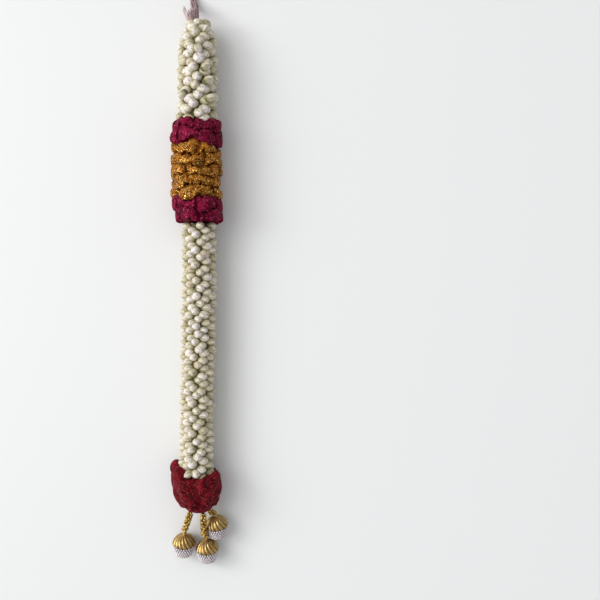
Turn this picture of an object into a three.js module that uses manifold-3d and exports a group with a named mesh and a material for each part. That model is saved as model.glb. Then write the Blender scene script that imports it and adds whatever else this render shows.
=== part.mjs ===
// A jasmine garland strand, laid down on a flat surface.  Millimetres, +Z up, +Y towards the hanging end.
//
// From the top down: a bundle of cotton threads with a knot, a thick column of jasmine buds, two crimson,
// five gold and two crimson ruffles of gathered glitter cloth, a long slim column of buds, a crimson pompon,
// and three short chains of gold beads with a pearl-studded bell on each.  Threads run through the middle of
// all of it.  The origin is the bottom centre of its box, leaving out the free threads and their knot.

import * as THREE from "three";
import Module from "manifold-3d";
import { mergeVertices } from "three/addons/utils/BufferGeometryUtils.js";

const wasm = await Module();
wasm.setup();

// ---- Driving dimensions ----------------------------------------------------------------------------------

// Lengths along the strand, from the top of the upper column down.
const TOP_Y = 352;
const UPPER_COLUMN_LENGTH = 127;
const CRIMSON_ROLL_WIDTH = 16;
const GOLD_ROLL_WIDTH = 14.2;
const LOWER_CRIMSON_ROLL_WIDTH = 15.4;
const LOWER_COLUMN_LENGTH = 325;
const POMPON_LENGTH = 54;
const POMPON_OVERLAP = 4.5;
const GAP = 0.4;

// Widths across, as radii.
const UPPER_COLUMN_RADIUS = 27.3;
const LOWER_COLUMN_RADIUS = 23.4;
const RUFFLE_RADIUS = 31.4;
const POMPON_RADIUS = 29;
const STRING_RADIUS = 2;
const BORE_RADIUS = 2.65;
const BORE_STEP = 22;
const PRESSED_HEIGHT = 1.5;

// Jasmine buds.
const BUD_HEIGHT = 9;
const BUD_UNEVENNESS = { height: 0.7, turn: 0.06, droop: 0.7 };
const SHOULDER = { height: 0.66, spread: 0.42, droop: 0.6, turn: 0.8 };
const UPPER_WHORLS = 12;
const UPPER_BUDS_IN_WHORL = 11;
const LOWER_WHORLS = 31;
const LOWER_BUDS_IN_WHORL = 10;
const DOME_LENGTH = 17;
const DOME_NARROWING = 0.5;

// Ruffles.
const CRIMSON_ROLLS = 2;
const GOLD_ROLLS = 5;
const RUFFLE_SEGMENTS = 20;
const RUFFLE_CORE_RADIUS = 20;
const RUFFLE_SHOULDER_RADIUS = 28.6;
const RUFFLE_WAVE = 1.8;

// Pompon.
const POMPON_SEGMENTS = 28;
const POMPON_CORE = 0.7;
const POMPON_BRIM = 0.3;
const POMPON_FOOT = 0.985;

// Bells.  Along a bell, zero is the apex of its cap.
const BELL_RADIUS = 15.3;
const BELL_LENGTH = 31;
const BELL_WALL = 1.4;
const BELL_TILT = THREE.MathUtils.degToRad(15);
const BELL_PETALS = 10;
const PETAL_RELIEF = 0.045;
const CAP_TOP = 2;
const CAP_FOOT = 15;
const BODY_TOP = 16;
const BODY_TOP_RADIUS = 12.8;
const BODY_FOOT = 27.6;
const BODY_FOOT_RADIUS = 9.4;
const BELL_RIM_RADIUS = 10.4;

// Pearls.
const PEARL_BAND_TOP = 16.6;
const PEARL_BAND_FOOT = 27.2;
const PEARL_ROWS = 4;
const PEARLS_IN_ROW = 20;
const PEARL_BACKING = 0.7;
const PEARL_HEIGHT = 1.2;

// Bead chains.
const BEAD_RADIUS = 2.3;
const END_BEAD_RADIUS = 1.6;
const BEAD_PITCH = 4;
const BEAD_OFFSET = 1.8;
const BEAD_TURN = 2.2;
const CHAIN_THREAD_RADIUS = 1.1;
const CHAIN_END = 0.06;

// Free threads at the top.
const THREAD_RADIUS = 4;
const KNOT_RADIUS = 6.4;
const KNOT_LENGTH = 26;
const KNOT_SIDES = 10;

// ---- The line that the strand lies along -----------------------------------------------------------------

// Stations down the strand: y with the sideways sway there, and y with the middle's height over the surface.
const sway = [
  [360, -2], [240, -2], [200, -3.8], [140, -3.4], [88, 0.4], [-48, -1.3], [-190, -3.9], [-285, -0.4],
];
const height = [[360, 26.6], [280, 27], [205, 28.4], [116, 28.4], [30, 23.4], [-180, 23.4], [-258, 27.2]];

/** A value at y, eased from one station to the next and level beyond the ends. */
function easedAt(stations, y) {
  const last = stations.length - 2;
  let i = 0;
  while (i < last && y < stations[i + 1][0]) i += 1;
  const ease = THREE.MathUtils.smoothstep(-y, -stations[i][0], -stations[i + 1][0]);
  return THREE.MathUtils.lerp(stations[i][1], stations[i + 1][1], ease);
}

/** The middle of the strand at a given y. */
function middleAt(y) {
  return new THREE.Vector3(easedAt(sway, y), y, easedAt(height, y));
}

/** A point round the strand, pressed flat where it comes near the surface or would sink below it. */
function aroundStrand(angle, y, radius) {
  const point = middleAt(y);
  point.x += radius * Math.cos(angle);
  point.z += radius * Math.sin(angle);
  if (point.z < PRESSED_HEIGHT) point.z = 0;
  return point;
}

// ---- Shared ways of making a solid -----------------------------------------------------------------------

/** Repeatable draws between -1 and 1. */
function seededDraws(seed) {
  let state = seed;
  return () => {
    state = (Math.imul(state, 1664525) + 1013904223) >>> 0;
    return state / 2147483648 - 1;
  };
}

/** A geometry from points and triangles, turned so that its faces point out. */
function closedGeometry(points, triangles) {
  let volume = 0;
  for (const [a, b, c] of triangles) {
    volume += points[a].dot(new THREE.Vector3().crossVectors(points[b], points[c]));
  }
  const index = triangles.flatMap(([a, b, c]) => (volume > 0 ? [a, b, c] : [a, c, b]));
  const geometry = new THREE.BufferGeometry();
  geometry.setAttribute("position", new THREE.Float32BufferAttribute(points.flatMap((p) => p.toArray()), 3));
  geometry.setIndex(index);
  geometry.computeVertexNormals();
  return geometry;
}

/** A ring round the strand: a closed section of `steps` points, carried through `segments` places. */
function ringSolid(steps, segments, pointAt) {
  const points = [];
  const triangles = [];
  const id = (i, j) => (i % steps) * segments + (j % segments);
  for (let i = 0; i < steps; i += 1) {
    for (let j = 0; j < segments; j += 1) points.push(pointAt(i, (2 * Math.PI * j) / segments));
  }
  for (let i = 0; i < steps; i += 1) {
    for (let j = 0; j < segments; j += 1) {
      const [a, b, c, d] = [id(i, j), id(i + 1, j), id(i + 1, j + 1), id(i, j + 1)];
      // The far face is split the other way, so that it matches the near face of the next ring.
      if (i < steps / 2) triangles.push([a, b, c], [a, c, d]);
      else triangles.push([a, b, d], [b, c, d]);
    }
  }
  return closedGeometry(points, triangles);
}

/**
 * A ring covered in rows of raised cells, packed like honeycomb.  Cells meet in grooves and each rises to a
 * tip, over a ring of six shoulders if `shoulder` is given.  The inside is a plain bore, which `inside`
 * places from the last row (0) back to the first (1).
 */
function reliefRing({ rows, count, groove, shoulder, tip, inside, insideRings }) {
  const points = [];
  const triangles = [];
  const around = 2 * count;
  const add = (point) => points.push(point) - 1;
  const grooves = [];
  for (let row = 0; row <= rows; row += 1) {
    const ring = [];
    for (let m = 0; m < around; m += 1) ring.push(add(groove(row, m)));
    grooves.push(ring);
  }
  for (let row = 0; row < rows; row += 1) {
    for (let k = 0; k < count; k += 1) {
      const first = 2 * k + (row % 2);
      const [left, middle, right] = [first, first + 1, first + 2].map((m) => m % around);
      const near = grooves[row];
      const far = grooves[row + 1];
      const corners = [far[left], near[left], near[middle], near[right], far[right], far[middle]];
      const top = add(tip(row, k));
      const ring = shoulder ? corners.map((_, i) => add(shoulder(row, k, i))) : corners;
      ring.forEach((here, i) => {
        const next = (i + 1) % ring.length;
        triangles.push([top, here, ring[next]]);
        if (!shoulder) return;
        triangles.push([here, corners[i], corners[next]], [here, corners[next], ring[next]]);
      });
    }
  }
  const bore = [];
  for (let i = 0; i < insideRings; i += 1) {
    const ring = [];
    const back = i / (insideRings - 1);
    for (let k = 0; k < count; k += 1) ring.push(add(inside(back, (2 * Math.PI * k) / count)));
    bore.push(ring);
  }
  const endFaces = [[grooves[rows], bore[0], false], [grooves[0], bore.at(-1), true]];
  for (const [outer, inner, turned] of endFaces) {
    for (let k = 0; k < count; k += 1) {
      const [a, b, c] = [outer[2 * k], outer[2 * k + 1], outer[(2 * k + 2) % around]];
      const [p, q] = [inner[k], inner[(k + 1) % count]];
      const faces = [[a, b, p], [b, q, p], [b, c, q]];
      triangles.push(...(turned ? faces.map(([u, v, w]) => [u, w, v]) : faces));
    }
  }
  for (let i = 0; i + 1 < insideRings; i += 1) {
    for (let k = 0; k < count; k += 1) {
      const n = (k + 1) % count;
      triangles.push([bore[i][k], bore[i][n], bore[i + 1][n]], [bore[i][k], bore[i + 1][n], bore[i + 1][k]]);
    }
  }
  return closedGeometry(points, triangles);
}

/** A solid for joining, from any closed geometry. */
function toSolid(geometry) {
  const bare = geometry.clone();
  bare.deleteAttribute("normal");
  bare.deleteAttribute("uv");
  const merged = mergeVertices(bare, 1e-4);
  return new wasm.Manifold(new wasm.Mesh({
    numProp: 3,
    vertProperties: new Float32Array(merged.attributes.position.array),
    triVerts: new Uint32Array(merged.index.array),
  }));
}

/** Overlapping geometries joined into one. */
function fuse(geometries) {
  const joined = geometries.map(toSolid).reduce((sum, solid) => sum.add(solid));
  const mesh = joined.getMesh();
  const geometry = new THREE.BufferGeometry();
  geometry.setAttribute("position", new THREE.BufferAttribute(new Float32Array(mesh.vertProperties), 3));
  geometry.setIndex(new THREE.BufferAttribute(new Uint32Array(mesh.triVerts), 1));
  geometry.computeVertexNormals();
  return geometry;
}

/** A round tube along a smooth line through the points. */
function tube(points, radius, sides, steps) {
  const section = new THREE.Shape();
  for (let i = 0; i < sides; i += 1) {
    const angle = (2 * Math.PI * i) / sides;
    const [x, y] = [radius * Math.cos(angle), radius * Math.sin(angle)];
    if (i === 0) section.moveTo(x, y);
    else section.lineTo(x, y);
  }
  return new THREE.ExtrudeGeometry(section, { steps, extrudePath: new THREE.CatmullRomCurve3(points) });
}

/** A named mesh with a finish of its own. */
function piece(name, geometry, finish) {
  const mesh = new THREE.Mesh(geometry, new THREE.MeshStandardMaterial(finish));
  mesh.name = name;
  return mesh;
}

const BUD_FINISH = { color: 0xe4e0cc, roughness: 0.6, metalness: 0 };
const CRIMSON_FINISH = { color: 0x8c1034, roughness: 0.75, metalness: 0.1 };
const GOLD_CLOTH_FINISH = { color: 0xb87a14, roughness: 0.55, metalness: 0.3 };
const GOLD_FINISH = { color: 0xd9a436, roughness: 0.28, metalness: 1 };
const PEARL_FINISH = { color: 0xf0edf2, roughness: 0.2, metalness: 0 };
const THREAD_FINISH = { color: 0xb08c88, roughness: 0.9, metalness: 0 };

const garland = new THREE.Group();

// ---- Bud columns -----------------------------------------------------------------------------------------

/**
 * A column of jasmine buds strung in whorls, each whorl turned half a place from the one before.  Every bud
 * stands out from the middle, a little unevenly.  `lean` is how far the tips droop, `lift` how much further
 * the first whorl's tips point up, and `hang` how much further the last whorl's hang down.  The first `dome`
 * millimetres round in to the threads.
 */
function budColumn({ top, length, radius, whorls, count, lean, lift, hang, dome, seed }) {
  const draw = seededDraws(seed);
  const pitch = length / (whorls + 1 / 3);
  const step = Math.PI / count;
  const centreY = (row) => top - pitch * (row + 2 / 3);
  const grooveRadiusAt = (y) => {
    const intoDome = dome > 0 ? THREE.MathUtils.clamp(1 - (top - y) / dome, 0, 1) : 0;
    return (radius - BUD_HEIGHT) * (1 - DOME_NARROWING * intoDome ** 2);
  };
  const buds = [];
  for (let row = 0; row < whorls; row += 1) {
    const endDroop = (row === whorls - 1 ? hang : 0) - (row === 0 ? lift : 0);
    for (let k = 0; k < count; k += 1) {
      buds.push({
        angle: step * (2 * k + 1 + (row % 2)),
        y: centreY(row),
        height: BUD_HEIGHT + BUD_UNEVENNESS.height * draw(),
        turn: BUD_UNEVENNESS.turn * draw(),
        droop: lean + BUD_UNEVENNESS.droop * draw() + endDroop,
      });
    }
  }
  return reliefRing({
    rows: whorls,
    count,
    groove: (row, m) => {
      const near = (m - row) % 2 === 0 ? 1 / 3 : 2 / 3;
      const y = centreY(row) + pitch * near;
      return aroundStrand(step * m, y, grooveRadiusAt(y));
    },
    tip: (row, k) => {
      const bud = buds[row * count + k];
      return aroundStrand(bud.angle + bud.turn, bud.y - bud.droop, grooveRadiusAt(bud.y) + bud.height);
    },
    shoulder: (row, k, i) => {
      const bud = buds[row * count + k];
      const spread = (Math.PI / 3) * i + Math.PI * (5 / 6);
      const across = SHOULDER.spread * 2 * step * Math.cos(spread);
      const y = bud.y - SHOULDER.droop * bud.droop - SHOULDER.spread * pitch * Math.sin(spread);
      const reach = grooveRadiusAt(y) + SHOULDER.height * bud.height;
      return aroundStrand(bud.angle + SHOULDER.turn * bud.turn + across, y, reach);
    },
    inside: (back, angle) => aroundStrand(angle, top - length * (1 - back), BORE_RADIUS),
    insideRings: Math.ceil(length / BORE_STEP) + 1,
  });
}

let y = TOP_Y;
garland.add(piece("upper_buds", budColumn({
  top: y, length: UPPER_COLUMN_LENGTH, radius: UPPER_COLUMN_RADIUS, whorls: UPPER_WHORLS,
  count: UPPER_BUDS_IN_WHORL, lean: 1.2, lift: 5, hang: 2.4, dome: DOME_LENGTH, seed: 11,
}), BUD_FINISH));
y -= UPPER_COLUMN_LENGTH + GAP;

// ---- Ruffles ---------------------------------------------------------------------------------------------

/** How far the seam between two ruffles wanders up and down at a place. */
function seamWave(seam, angle, radius) {
  const reach = (radius / RUFFLE_RADIUS) ** 2;
  return RUFFLE_WAVE * reach * (Math.sin(3 * angle + 1.7 * seam) + 0.6 * Math.sin(5 * angle + 2.9 * seam));
}

/** How far a ruffle puffs out or in round its rim. */
function rufflePuff(seam, angle) {
  return 0.9 * Math.sin(4 * angle + 2.3 * seam) + 0.7 * Math.sin(7 * angle + seam);
}

// A ruffle's section: its radius, and its side from the upper seam (1) to the lower one (-1).
const ruffleSection = [
  [BORE_RADIUS, 1], [RUFFLE_CORE_RADIUS, 1], [RUFFLE_SHOULDER_RADIUS, 0.8], [RUFFLE_RADIUS, 0],
  [RUFFLE_SHOULDER_RADIUS, -0.8], [RUFFLE_CORE_RADIUS, -1], [BORE_RADIUS, -1],
];

/** One ruffle: a ring of gathered cloth between two seams, which it shares with its neighbours. */
function ruffle(top, width, seam, waves) {
  const middle = top - width / 2;
  return ringSolid(ruffleSection.length, RUFFLE_SEGMENTS, (i, angle) => {
    const [radius, side] = ruffleSection[i];
    const puff = radius > RUFFLE_CORE_RADIUS ? rufflePuff(seam, angle) : 0;
    const upper = waves[0] * seamWave(seam, angle, radius);
    const lower = waves[1] * seamWave(seam + 1, angle, radius);
    const wander = THREE.MathUtils.lerp(lower, upper, (side + 1) / 2);
    return aroundStrand(angle, middle + (side * (width - GAP)) / 2 + wander, radius + puff);
  });
}

const crimson = { name: "crimson_ruffle", width: CRIMSON_ROLL_WIDTH, finish: CRIMSON_FINISH };
const gold = { name: "gold_ruffle", width: GOLD_ROLL_WIDTH, finish: GOLD_CLOTH_FINISH };
const lowerCrimson = { ...crimson, width: LOWER_CRIMSON_ROLL_WIDTH };
const rolls = [
  ...Array(CRIMSON_ROLLS).fill(crimson),
  ...Array(GOLD_ROLLS).fill(gold),
  ...Array(CRIMSON_ROLLS).fill(lowerCrimson),
];
const counts = {};
rolls.forEach(({ name, width, finish }, seam) => {
  counts[name] = (counts[name] ?? 0) + 1;
  const waves = [seam === 0 ? 0 : 1, seam === rolls.length - 1 ? 0 : 1];
  garland.add(piece(`${name}_${counts[name]}`, ruffle(y, width, seam, waves), finish));
  y -= width;
});
y -= GAP;

garland.add(piece("lower_buds", budColumn({
  top: y, length: LOWER_COLUMN_LENGTH, radius: LOWER_COLUMN_RADIUS, whorls: LOWER_WHORLS,
  count: LOWER_BUDS_IN_WHORL, lean: 0.8, lift: 3, hang: 3, dome: 0, seed: 23,
}), BUD_FINISH));
y -= LOWER_COLUMN_LENGTH;

// ---- Pompon ----------------------------------------------------------------------------------------------

// The pompon's section, as shares of its radius and length: from the hollow that the last buds sit in, over
// the brim and round to its foot.
const pomponSection = [
  [BORE_RADIUS / POMPON_RADIUS, 0.09], [0.45, 0.12], [0.69, 0.15], [0.81, 0.06], [0.93, 0.05], [0.99, 0.2],
  [0.97, 0.36], [0.94, 0.52], [0.86, 0.68], [0.74, 0.82], [0.53, 0.95], [0.28, POMPON_FOOT],
  [BORE_RADIUS / POMPON_RADIUS, POMPON_FOOT], [BORE_RADIUS / POMPON_RADIUS, 0.54],
];

// Puffed lobes round the pompon: direction, place along it from 0 to 1, reach, and spread.
const lobes = [
  { angle: 2.5, along: 0.16, reach: 4.5, spread: 0.55 },
  { angle: 0.5, along: 0.3, reach: 2.5, spread: 0.6 },
  { angle: 1.5, along: 0.45, reach: 2.2, spread: 0.5 },
  { angle: 3.6, along: 0.35, reach: 2.5, spread: 0.6 },
  { angle: 5.6, along: 0.3, reach: 2, spread: 0.6 },
];
const LOBE_LENGTH = 0.25;
const BRIM_LIFT = 1.1;

/** How far the pompon's folds and lobes stand out at a place. */
function pomponSwell(angle, along) {
  let swell = 1.9 * Math.sin(6 * angle + 4 * along) + 0.9 * Math.sin(9 * angle - 11 * along);
  for (const lobe of lobes) {
    const apart = Math.atan2(Math.sin(angle - lobe.angle), Math.cos(angle - lobe.angle)) / lobe.spread;
    const beyond = (along - lobe.along) / LOBE_LENGTH;
    swell += lobe.reach * Math.exp(-apart * apart - beyond * beyond);
  }
  return swell;
}

const pomponTop = y + POMPON_OVERLAP;
garland.add(piece("pompon", ringSolid(pomponSection.length, POMPON_SEGMENTS, (i, angle) => {
  const [share, along] = pomponSection[i];
  const swell = share > POMPON_CORE ? pomponSwell(angle, along) : 0;
  const lift = along < POMPON_BRIM ? BRIM_LIFT * swell : 0;
  return aroundStrand(angle, pomponTop - POMPON_LENGTH * along + lift, share * POMPON_RADIUS + swell);
}), CRIMSON_FINISH));

// ---- Threads ---------------------------------------------------------------------------------------------

const STRING_SPANS = 28;
const stringTop = TOP_Y + 1;
const stringFoot = pomponTop - POMPON_LENGTH * POMPON_FOOT - 1;
const stringPoints = [];
for (let i = 0; i <= STRING_SPANS; i += 1) {
  stringPoints.push(middleAt(THREE.MathUtils.lerp(stringTop, stringFoot, i / STRING_SPANS)));
}
garland.add(piece("core_string", tube(stringPoints, STRING_RADIUS, 6, STRING_SPANS), THREAD_FINISH));

// The free bundle comes straight out of the column, falls to the surface and runs on along it to its knot.
const threadRoute = [
  [-4.6, 353.6, 26.6],
  [-4.7, 356, 26.6],
  [-5, 359.4, 26],
  [-5.5, 363.5, 24.3],
  [-6.1, 367, 21.6],
  [-6.9, 371, 17.6],
  [-7.8, 375.2, 13.4],
  [-8.8, 379.4, 9.2],
  [-9.7, 383, 6.5],
  [-10.7, 387, 4.8],
  [-11.8, 391.4, 4.3],
  [-12.8, 395.6, 4.6],
  [-13.9, 399.7, 5.3],
  [-14.9, 403.9, 6.1],
  [-15.9, 408, 6.4],
].map(([px, py, pz]) => new THREE.Vector3(px, py, pz));
garland.add(piece("tie_threads", tube(threadRoute, THREAD_RADIUS, 8, 14), THREAD_FINISH));

// The knot's section: a rounded knot, a waist, and the bound tail beyond it.
const knotSection = [
  [0, 0], [4.4, 0], [KNOT_RADIUS, 3], [KNOT_RADIUS, 7.5], [4.6, 11], [3.6, 12.5], [4.6, 18],
  [5.4, KNOT_LENGTH], [0, KNOT_LENGTH - 2],
].map(([radius, along]) => new THREE.Vector2(radius, along));
const knot = piece("tie_knot", new THREE.LatheGeometry(knotSection, KNOT_SIDES), THREAD_FINISH);
const threadEnd = threadRoute.at(-1);
const beforeEnd = threadRoute.at(-2);
knot.position.set(threadEnd.x, threadEnd.y + 2 * GAP, threadEnd.z);
knot.rotation.z = Math.atan2(beforeEnd.x - threadEnd.x, threadEnd.y - beforeEnd.y);
garland.add(knot);

// ---- Bells -----------------------------------------------------------------------------------------------

// Each bell: where its apex is, and how far it is turned sideways, in degrees.
const bells = [
  { name: "left", apex: new THREE.Vector3(-20.2, -313, 19.6), turn: -4 },
  { name: "front", apex: new THREE.Vector3(8.8, -320.5, 19.6), turn: 2 },
  { name: "back", apex: new THREE.Vector3(20.1, -289.5, 19.6), turn: 5 },
];

/** The outside of a bell's plain body, which the pearls sit on. */
function bodyRadiusAt(along) {
  const down = (along - BODY_TOP) / (BODY_FOOT - BODY_TOP);
  return BODY_TOP_RADIUS - (BODY_TOP_RADIUS - BODY_FOOT_RADIUS) * down ** 2;
}

// The metal's section: its outside from the knob down to the rim, and its inside from the rim up.
const bellOutside = [
  [0, -CAP_TOP], [2.2, -1], [2, 0.8], [6.4, 2.6], [11.2, 6.4], [14.1, 11], [BELL_RADIUS, 14.2],
  [BODY_TOP_RADIUS, BODY_TOP], [bodyRadiusAt(21), 21], [BODY_FOOT_RADIUS, BODY_FOOT],
  [BELL_RIM_RADIUS, 29], [BELL_RIM_RADIUS - 0.5, BELL_LENGTH],
];
const bellInside = [
  [8.7, BELL_LENGTH], [BODY_FOOT_RADIUS - BELL_WALL, BODY_FOOT], [bodyRadiusAt(21) - BELL_WALL, 21],
  [11.3, 15], [9.6, 9], [0, 4],
];

/** A gold cap of fanned petals over a plain hollow body, open at the foot, with its apex at zero. */
function bellMetal() {
  const section = [...bellOutside, ...bellInside];
  const profile = section.map(([radius, along]) => new THREE.Vector2(radius, -along)).reverse();
  const geometry = new THREE.LatheGeometry(profile, 2 * BELL_PETALS);
  const place = geometry.attributes.position;
  const spot = new THREE.Vector3();
  for (let i = 0; i < place.count; i += 1) {
    spot.fromBufferAttribute(place, i);
    const outside = i % profile.length >= bellInside.length;
    if (!outside || spot.y > -CAP_TOP || spot.y < -CAP_FOOT) continue;
    const petal = 1 + PETAL_RELIEF * Math.cos(BELL_PETALS * Math.atan2(spot.x, spot.z));
    place.setXYZ(i, spot.x * petal, spot.y, spot.z * petal);
  }
  return geometry;
}

/** The band of pearls round the body, set in rows like honeycomb. */
function pearlBand() {
  const pitch = (PEARL_BAND_FOOT - PEARL_BAND_TOP) / (PEARL_ROWS + 1 / 3);
  const step = Math.PI / PEARLS_IN_ROW;
  const rowAt = (row) => PEARL_BAND_TOP + pitch * (row + 2 / 3);
  const at = (angle, along, proud) => {
    const radius = bodyRadiusAt(along) + GAP + proud;
    return new THREE.Vector3(radius * Math.cos(angle), -along, radius * Math.sin(angle));
  };
  return reliefRing({
    rows: PEARL_ROWS,
    count: PEARLS_IN_ROW,
    groove: (row, m) => {
      const near = (m - row) % 2 === 0 ? 1 / 3 : 2 / 3;
      return at(step * m, rowAt(row) - pitch * near, PEARL_BACKING);
    },
    tip: (row, k) => at(step * (2 * k + 1 + (row % 2)), rowAt(row), PEARL_BACKING + PEARL_HEIGHT),
    inside: (back, angle) => {
      return at(angle, THREE.MathUtils.lerp(PEARL_BAND_FOOT, PEARL_BAND_TOP, back), 0);
    },
    insideRings: 3,
  });
}

for (const { name, apex, turn } of bells) {
  const bell = new THREE.Group();
  bell.position.copy(apex);
  bell.rotation.set(BELL_TILT, 0, THREE.MathUtils.degToRad(turn));
  bell.add(piece(`bell_${name}`, bellMetal(), GOLD_FINISH));
  bell.add(piece(`pearls_${name}`, pearlBand(), PEARL_FINISH));
  garland.add(bell);
}

// ---- Bead chains -----------------------------------------------------------------------------------------

/** A chain of beads clustered round a short thread, from the foot of the pompon to the apex of a bell. */
function beadChain(points, seed) {
  const draw = seededDraws(seed);
  const line = new THREE.CatmullRomCurve3(points);
  const solids = [tube(points, CHAIN_THREAD_RADIUS, 6, 8)];
  const count = Math.floor(line.getLength() / BEAD_PITCH);
  for (let i = 0; i <= count; i += 1) {
    const along = i / count;
    const atEnd = along < CHAIN_END || along > 1 - CHAIN_END;
    const offset = atEnd ? 0 : BEAD_OFFSET + 0.15 * draw();
    const bead = new THREE.IcosahedronGeometry(atEnd ? END_BEAD_RADIUS : BEAD_RADIUS, 0);
    bead.rotateX(draw());
    const spot = line.getPointAt(along);
    const ahead = line.getTangentAt(along);
    const side = new THREE.Vector3(0, 0, 1).cross(ahead).normalize();
    const up = ahead.clone().cross(side);
    spot.addScaledVector(side, offset * Math.cos(BEAD_TURN * i));
    spot.addScaledVector(up, offset * Math.sin(BEAD_TURN * i));
    bead.translate(spot.x, spot.y, spot.z);
    solids.push(bead);
  }
  return fuse(solids);
}

const chainRoutes = {
  left: [[-11.6, -284.3, 28], [-14.1, -292, 28], [-17, -301, 25], [-20.1, -309.4, 20.6]],
  front: [[5.4, -285, 33], [6, -293, 32], [6.2, -303, 29.9], [6.2, -311, 27], [8.7, -316.9, 20.7]],
  back: [[12.9, -283.6, 23], [17, -286, 22.6], [20, -286, 20.7]],
};
Object.entries(chainRoutes).forEach(([name, route], i) => {
  const points = route.map(([px, py, pz]) => new THREE.Vector3(px, py, pz));
  garland.add(piece(`chain_${name}`, beadChain(points, 31 + i), GOLD_FINISH));
});

export default garland;
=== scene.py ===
import math
import random

import bmesh
import bpy
from mathutils import Matrix, Vector, noise


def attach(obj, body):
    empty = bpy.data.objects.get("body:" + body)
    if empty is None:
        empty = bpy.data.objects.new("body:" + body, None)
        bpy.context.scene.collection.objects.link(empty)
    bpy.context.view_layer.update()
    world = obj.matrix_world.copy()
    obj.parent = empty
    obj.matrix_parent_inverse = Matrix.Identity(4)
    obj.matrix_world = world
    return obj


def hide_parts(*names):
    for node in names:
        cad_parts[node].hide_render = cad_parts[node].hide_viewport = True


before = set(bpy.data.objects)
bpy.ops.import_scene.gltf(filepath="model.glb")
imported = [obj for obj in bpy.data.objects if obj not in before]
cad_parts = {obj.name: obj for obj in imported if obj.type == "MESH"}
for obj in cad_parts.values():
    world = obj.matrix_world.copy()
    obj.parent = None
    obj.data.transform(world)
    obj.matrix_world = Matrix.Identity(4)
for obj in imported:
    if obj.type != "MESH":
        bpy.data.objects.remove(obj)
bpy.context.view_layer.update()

MM = 0.001

# ---- Camera, floor and light -----------------------------------------------------------------------------
# The strand lies on a pale floor.  The camera looks straight down at it, with the strand left of the middle
# of its view, and soft light comes from the left.

LENS = 50
SENSOR_WIDTH = 36
VIEW_CENTRE = Vector((130.65, -8.45, 25)) * MM
VIEW_WIDTH = 780 * MM
FLOOR_SIZE = 3
FLOOR_COLOUR = (0.86, 0.86, 0.85)
SKY_LEFT = (0.95, 0.97, 1.0)
SKY_RIGHT = (0.42, 0.42, 0.43)
SKY_STRENGTH = 0.81
WINDOW_DIRECTION = Vector((0.70, -0.20, -0.68))
WINDOW_SPREAD = math.radians(50)
WINDOW_STRENGTH = 1.5
SOFTBOX_PLACE = Vector((-1.3, 0.3, 1.0))
SOFTBOX_TARGET = Vector((0, -0.1, 0))
SOFTBOX_SIZE = 0.5
SOFTBOX_POWER = 6

camera = bpy.data.objects.new("camera", bpy.data.cameras.new("camera"))
camera.data.lens = LENS
camera.data.sensor_width = SENSOR_WIDTH
camera.data.clip_start = 0.01
camera.location = VIEW_CENTRE + Vector((0, 0, VIEW_WIDTH * LENS / SENSOR_WIDTH))
bpy.context.scene.collection.objects.link(camera)
bpy.context.scene.camera = camera
bpy.context.scene.view_settings.view_transform = "Standard"


def finish_of(name, base=(0.8, 0.8, 0.8), roughness=0.5, metallic=0.0):
    """A material with its nodes, links and principled shader, ready for more nodes."""
    material = bpy.data.materials.new(name)
    material.use_nodes = True
    shader = material.node_tree.nodes["Principled BSDF"]
    shader.inputs["Base Color"].default_value = (*base, 1)
    shader.inputs["Roughness"].default_value = roughness
    shader.inputs["Metallic"].default_value = metallic
    return material, material.node_tree.nodes, material.node_tree.links, shader


def shades_of(nodes, *stops):
    """A colour ramp through its stops, each a place from 0 to 1 and a colour."""
    ramp = nodes.new("ShaderNodeValToRGB")
    elements = ramp.color_ramp.elements
    for element, (place, colour) in zip(elements, (stops[0], stops[-1])):
        element.position = place
        element.color = (*colour, 1)
    for place, colour in stops[1:-1]:
        elements.new(place).color = (*colour, 1)
    return ramp


def ranged(nodes, links, value, into=(0, 1), out_of=(0, 1)):
    """A value brought out of one range into another."""
    node = nodes.new("ShaderNodeMapRange")
    node.inputs["From Min"].default_value, node.inputs["From Max"].default_value = out_of
    node.inputs["To Min"].default_value, node.inputs["To Max"].default_value = into
    links.new(value, node.inputs["Value"])
    return node.outputs[0]


def piece_from(bm, name, material, smooth=True):
    """A finished object from a bmesh, with its place in its mesh."""
    mesh = bpy.data.meshes.new(name)
    bm.to_mesh(mesh)
    bm.free()
    mesh.polygons.foreach_set("use_smooth", [smooth] * len(mesh.polygons))
    mesh.materials.append(material)
    piece = bpy.data.objects.new(name, mesh)
    bpy.context.scene.collection.objects.link(piece)
    return piece


def hang_light(name, lamp, direction, place=(0, 0, 0)):
    """Places a light so that it shines in a direction."""
    holder = bpy.data.objects.new(name, lamp)
    holder.location = place
    holder.rotation_euler = direction.to_track_quat("-Z", "Y").to_euler()
    bpy.context.scene.collection.objects.link(holder)


floor_mesh = bmesh.new()
bmesh.ops.create_grid(floor_mesh, x_segments=1, y_segments=1, size=FLOOR_SIZE)
floor_paint = finish_of("floor_paint", base=FLOOR_COLOUR, roughness=0.9)[0]
floor = piece_from(floor_mesh, "floor", floor_paint, smooth=False)

world = bpy.data.worlds.new("studio")
bpy.context.scene.world = world
world.use_nodes = True
nodes, links = world.node_tree.nodes, world.node_tree.links
sky_place = nodes.new("ShaderNodeTexCoord")
sky_split = nodes.new("ShaderNodeSeparateXYZ")
sky_shades = shades_of(nodes, (0, SKY_LEFT), (1, SKY_RIGHT))
links.new(sky_place.outputs["Generated"], sky_split.inputs[0])
links.new(ranged(nodes, links, sky_split.outputs["X"], out_of=(-1, 1)), sky_shades.inputs[0])
links.new(sky_shades.outputs[0], nodes["Background"].inputs["Color"])
nodes["Background"].inputs["Strength"].default_value = SKY_STRENGTH

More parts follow.
